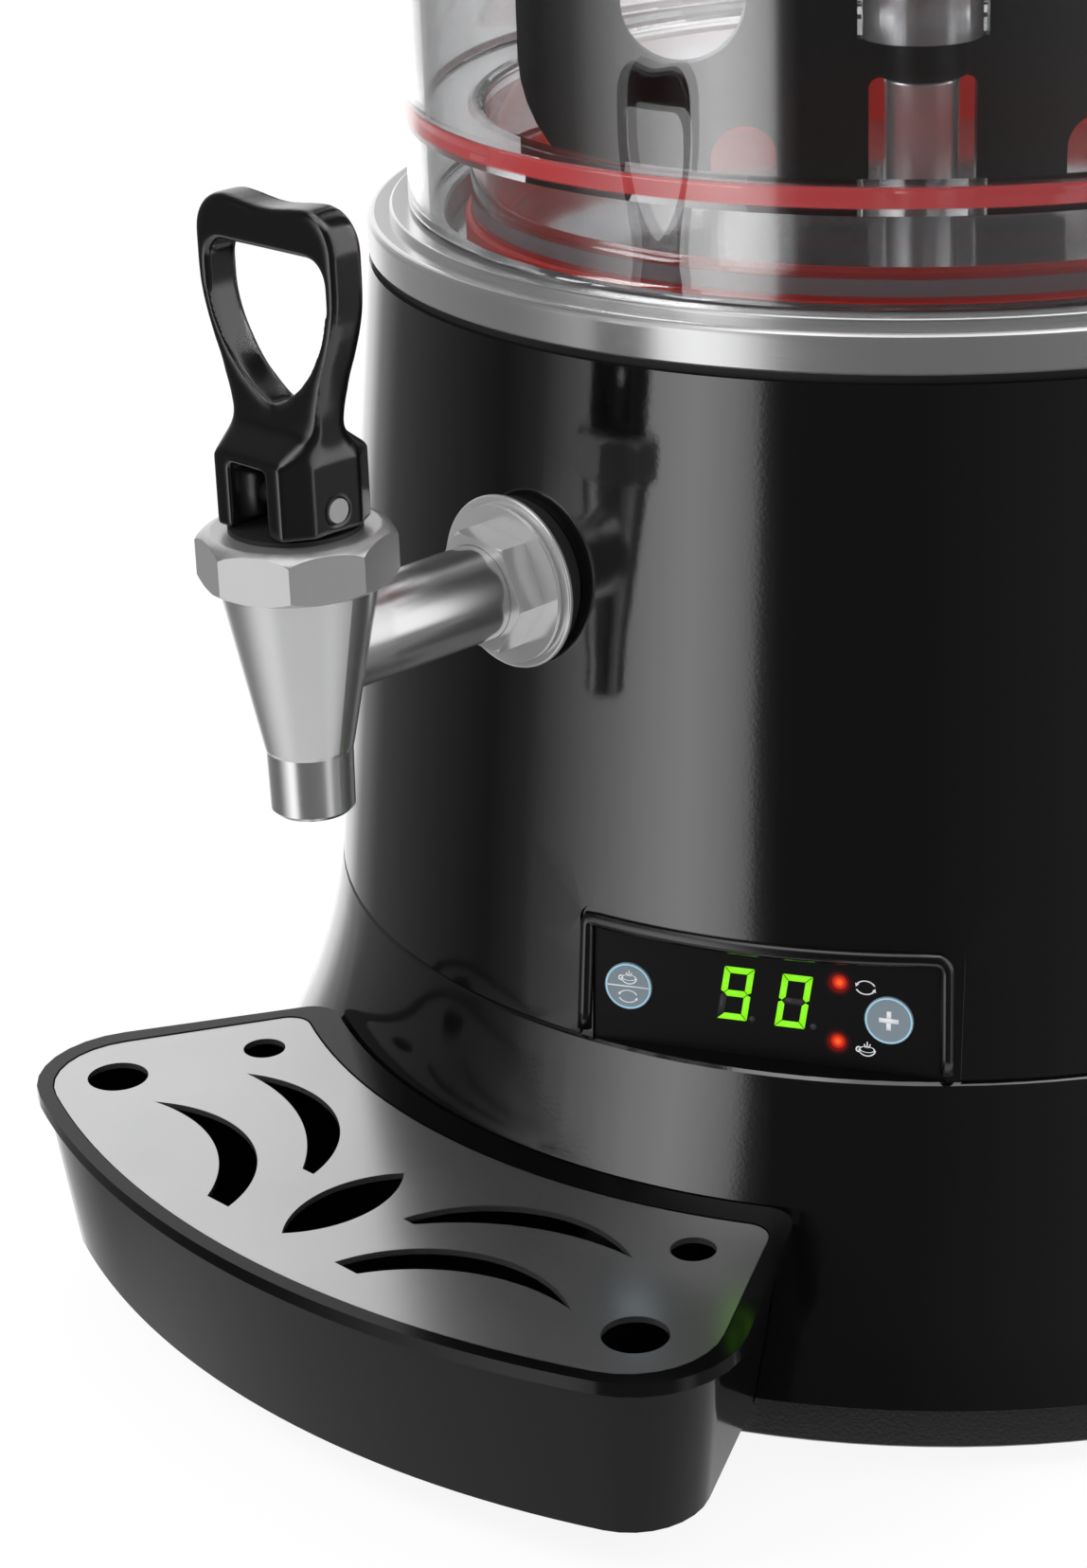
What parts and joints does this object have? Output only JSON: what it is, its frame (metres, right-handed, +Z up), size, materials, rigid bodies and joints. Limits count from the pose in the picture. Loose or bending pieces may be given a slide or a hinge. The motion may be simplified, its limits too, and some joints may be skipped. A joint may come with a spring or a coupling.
{
  "type": "hot chocolate dispenser",
  "caption": "Countertop hot drink dispenser with a flared base, tapered body, clear bowl over a heated plate, paddle stirrer, loop-lever tap and drip tray.",
  "frame": {"origin": "bottom centre of the bounding box, on the table under the feet", "axes": "+Z up, -Y toward the tap and drip tray, +X toward the control panel's side"},
  "size_m": [0.28, 0.3306, 0.4264],
  "materials": {
    "black_gloss": "high gloss moulded black",
    "black_satin": "satin moulded black",
    "panel": "smooth dark grey overlay",
    "display": "dark display block",
    "lamp": "clear red",
    "button": "smooth grey-blue",
    "board": "coated board",
    "lever_black": "glossy black",
    "stainless": "fine brushed stainless",
    "polished": "mirror polished",
    "zinc": "zinc plated",
    "motor_grey": "cast and painted",
    "heater": "heat-toned sheath",
    "ceramic": "ceramic and plastic",
    "rubber_black": "matt black rubber",
    "silicone_red": "smooth red silicone",
    "silicone_pale": "pale silicone",
    "paddle_black": "satin black",
    "clear": "clear moulded polycarbonate"
  },
  "bodies": {
    "frame": {"base_skirt": "black_gloss", "rear_recess": "black_gloss", "body_shell": "black_gloss", "panel_bezel": "black_satin", "switch_body": "black_satin", "cord_gland": "black_satin", "shank_saddle": "black_satin", "panel_face": "panel", "display_module": "display", "indicator_lamps": "lamp", "control_board": "board", "top_ring": "stainless", "tap_body": "stainless", "tap_nut": "stainless", "tap_washer": "stainless", "bonnet_nut": "stainless", "shaft_bush": "stainless", "water_pot": "stainless", "outlet_pipe": "stainless", "lock_nut": "stainless", "valve_spring": "stainless", "hot_plate": "polished", "plate_screws": "zinc", "body_screws": "zinc", "ring_screws": "zinc", "bracket_screws": "zinc", "motor_screws": "zinc", "bottom_plate": "zinc", "motor_bracket": "zinc", "gear_motor": "motor_grey", "heating_element": "heater", "thermostat": "ceramic", "rubber_feet": "rubber_black", "ring_seal": "rubber_black", "tap_seal": "rubber_black", "lever_washer": "rubber_black", "bowl_gasket": "silicone_red"},
    "stirrer": {"drive_shaft": "stainless", "paddle": "paddle_black", "hub_cap": "polished"},
    "valve": {"valve_stem": "stainless", "seat_cup": "silicone_pale"},
    "lever": {"tap_lever": "lever_black", "lever_pin": "stainless"},
    "bowl": {"bowl": "clear"},
    "lid": {"lid": "black_satin", "lid_knob": "black_satin"},
    "tray": {"drip_tray": "black_gloss"},
    "grid": {"drip_grid": "stainless"},
    "stir_key": {"stir_button": "button"},
    "temp_key": {"temp_button": "button"},
    "switch": {"rocker": "lever_black"}
  },
  "joints": [
    {"name": "stirrer_spin", "type": "hinge", "parent": "frame", "child": "stirrer", "pos_m": [0, 0.0253, 0.2], "axis": [0, 0, 1], "continuous": true},
    {"name": "valve_lift", "type": "slide", "parent": "frame", "child": "valve", "axis": [0, 0, 1], "range_m": [0, 0.0038], "stiffness_N_per_m": 1500, "springref_m": -0.006, "deforming": ["valve_spring"]},
    {"name": "lever_tilt", "type": "hinge", "parent": "valve", "child": "lever", "pos_m": [0, -0.1383, 0.1796], "axis": [1, 0, 0], "range_deg": [0, 22]},
    {"name": "bowl_lift", "type": "slide", "parent": "frame", "child": "bowl", "axis": [0, 0, 1], "range_m": [0, 0.06]},
    {"name": "lid_lift", "type": "slide", "parent": "bowl", "child": "lid", "axis": [0, 0, 1], "range_m": [0, 0.04]},
    {"name": "tray_slide", "type": "slide", "parent": "frame", "child": "tray", "axis": [0, -1, 0], "range_m": [0, 0.06]},
    {"name": "grid_lift", "type": "slide", "parent": "tray", "child": "grid", "axis": [0, 0, 1], "range_m": [0, 0.03]},
    {"name": "stir_press", "type": "slide", "parent": "frame", "child": "stir_key", "axis": [-0.4411, 0.8924, -0.0952], "range_m": [0, 0.0005], "stiffness_N_per_m": 1200},
    {"name": "temp_press", "type": "slide", "parent": "frame", "child": "temp_key", "axis": [-0.4411, 0.8924, -0.0952], "range_m": [0, 0.0005], "stiffness_N_per_m": 1200},
    {"name": "switch_rock", "type": "hinge", "parent": "frame", "child": "switch", "pos_m": [-0.016, 0.1353, 0.037], "axis": [1, 0, 0], "range_deg": [-20, 0]}
  ],
  "couplings": [
    {"joint": "lever_tilt", "follows": "valve_lift", "rad_per_m": 100}
  ]
}
